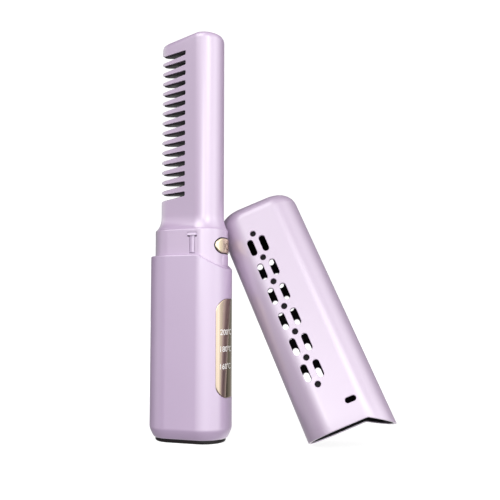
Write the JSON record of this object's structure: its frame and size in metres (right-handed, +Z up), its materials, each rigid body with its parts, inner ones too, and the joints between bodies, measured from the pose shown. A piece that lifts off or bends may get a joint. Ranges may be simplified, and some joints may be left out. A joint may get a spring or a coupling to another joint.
{
  "type": "hot comb",
  "caption": "Cordless heated hair comb with a round spine, tapered teeth, an oval handle with a curved display, and a vented cap that leans beside it.",
  "frame": {"origin": "centre of the comb's flat base, where it stands", "axes": "+Z up along the comb, +X towards the spine, the display and the button, -X along the teeth, -Y towards the side with the cap catch"},
  "size_m": [0.1187, 0.051, 0.2013],
  "materials": {
    "lilac_shell": "satin",
    "black_plastic": "satin",
    "screw_steel": "plain",
    "grey_plastic": "matte",
    "cell_wrap": "glossy",
    "nickel": "satin",
    "circuit_board": "glossy",
    "chip_black": "matte",
    "socket_steel": "satin",
    "led_white": "glossy",
    "gold_mirror": "mirror",
    "black_comb": "black coated",
    "heater_ceramic": "matte",
    "mica": "matte",
    "spring_steel": "plain",
    "glass_bead": "glossy",
    "fuse_can": "satin",
    "lead_rubber": "matte",
    "gold_button": "polished",
    "liner_black": "matte"
  },
  "bodies": {
    "comb": {"handle_sleeve": "lilac_shell", "base_cover": "black_plastic", "base_screws": "screw_steel", "chassis": "grey_plastic", "battery_cell": "cell_wrap", "cell_tabs": "nickel", "main_board": "circuit_board", "board_parts": "chip_black", "usb_socket": "socket_steel", "board_header": "chip_black", "display_board": "circuit_board", "display_leds": "led_white", "display_window": "gold_mirror", "head_front_shell": "lilac_shell", "head_rear_shell": "lilac_shell", "shell_screws": "screw_steel", "neck_screws": "screw_steel", "heater_comb": "black_comb", "heater_plates": "heater_ceramic", "heater_electrodes": "nickel", "mica_sheet": "mica", "pressure_bar": "grey_plastic", "pressure_springs": "spring_steel", "thermistor": "glass_bead", "thermal_fuse": "fuse_can", "heat_barrier": "mica", "heater_leads": "lead_rubber", "button_board": "circuit_board", "button_switch": "chip_black", "button_ring": "black_plastic"},
    "button": {"power_button": "gold_button"},
    "catch": {"cap_catch": "lilac_shell"},
    "cap": {"cap_shell": "lilac_shell", "cap_liner": "liner_black"}
  },
  "joints": [
    {"name": "button_press", "type": "slide", "parent": "comb", "child": "button", "axis": [-1, 0, 0], "range_m": [0, 0.0008], "stiffness_N_per_m": 1500, "springref_m": -0.0005},
    {"name": "catch_flex", "type": "hinge", "parent": "comb", "child": "catch", "pos_m": [0.005, -0.0106, 0.0906], "axis": [-1, 0, 0], "range_deg": [0, 5], "stiffness_Nm_per_rad": 0.8, "springref_deg": -1.15},
    {"name": "cap_lift", "type": "slide", "parent": "comb", "child": "cap", "axis": [0, 0, 1], "range_m": [-0.0005, 0.22]}
  ]
}
